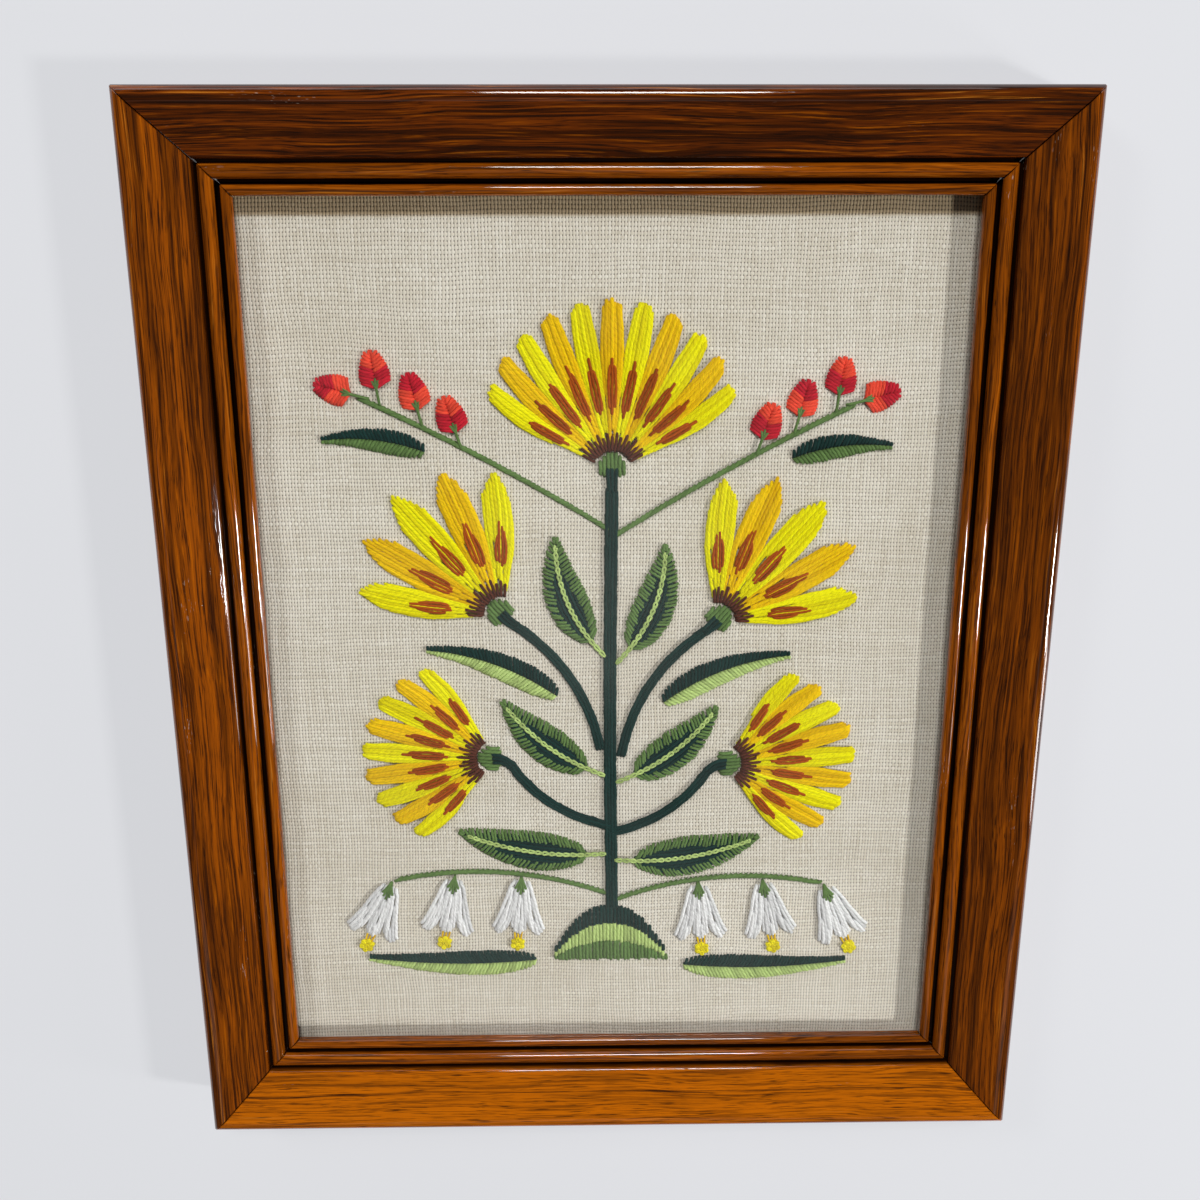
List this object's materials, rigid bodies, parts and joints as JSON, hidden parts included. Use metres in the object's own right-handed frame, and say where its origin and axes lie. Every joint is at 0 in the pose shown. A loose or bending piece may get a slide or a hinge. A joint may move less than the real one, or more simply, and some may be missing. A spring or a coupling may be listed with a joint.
{
  "type": "crewel embroidery panel in a wooden picture frame",
  "caption": "Crewel embroidery of a flowering spray in wool on linen, under glass in a mitred, stained wooden picture frame.",
  "frame": {"origin": "middle of the frame's underside, on the surface it lies on", "axes": "+X to the picture's right, +Y to its top, +Z out of its face, which looks up"},
  "size_m": [0.337, 0.413, 0.0288],
  "materials": {
    "oak": "oak, stained red brown and varnished to a gloss, with dark pores",
    "glass": "clear picture glass with a faint haze",
    "linen": "natural open plain-woven linen with slubs",
    "board": "plain grey brown mounting board",
    "wool_yellow": "plied wool, lemon and gold with rust streaks",
    "wool_white": "plied white wool",
    "wool_knots": "yellow wool in small knots",
    "wool_crimson": "plied crimson wool",
    "wool_orange_red": "plied orange red wool",
    "wool_dark_green": "plied dark blue green wool",
    "wool_mid_green": "plied olive green wool",
    "wool_light_green": "plied light green wool"
  },
  "bodies": {
    "root": {"bell_left_1": "wool_white", "bell_left_2": "wool_white", "bell_left_3": "wool_white", "bell_right_1": "wool_white", "bell_right_2": "wool_white", "bell_right_3": "wool_white", "bud_left_1": "wool_crimson", "bud_left_2": "wool_orange_red", "bud_left_3": "wool_crimson", "bud_left_4": "wool_orange_red", "bud_right_1": "wool_crimson", "bud_right_2": "wool_orange_red", "bud_right_3": "wool_crimson", "bud_right_4": "wool_orange_red", "calyx_high_left": "wool_mid_green", "calyx_high_right": "wool_mid_green", "calyx_mid_left": "wool_mid_green", "calyx_mid_right": "wool_mid_green", "calyx_top": "wool_mid_green", "glass_pane": "glass", "head_high_left": "wool_yellow", "head_high_right": "wool_yellow", "head_mid_left": "wool_yellow", "head_mid_right": "wool_yellow", "head_top": "wool_yellow", "knots_left_1": "wool_knots", "knots_left_2": "wool_knots", "knots_left_3": "wool_knots", "knots_right_1": "wool_knots", "knots_right_2": "wool_knots", "knots_right_3": "wool_knots", "leaf_broad_left": "wool_mid_green", "leaf_broad_right": "wool_mid_green", "leaf_centre_left": "wool_mid_green", "leaf_centre_right": "wool_mid_green", "leaf_ground_left": "wool_light_green", "leaf_ground_right": "wool_light_green", "leaf_inner_left": "wool_mid_green", "leaf_inner_right": "wool_mid_green", "leaf_outer_left": "wool_light_green", "leaf_outer_right": "wool_light_green", "leaf_tip_left": "wool_dark_green", "leaf_tip_right": "wool_dark_green", "linen_ground": "linen", "mound": "wool_mid_green", "mounting_board": "board", "rail_bottom": "oak", "rail_left": "oak", "rail_right": "oak", "rail_top": "oak", "sprig_left": "wool_mid_green", "sprig_right": "wool_mid_green", "stem_high_left": "wool_dark_green", "stem_high_right": "wool_dark_green", "stem_low_left": "wool_mid_green", "stem_low_right": "wool_mid_green", "stem_main": "wool_dark_green", "stem_mid_left": "wool_dark_green", "stem_mid_right": "wool_dark_green"}
  },
  "joints": []
}
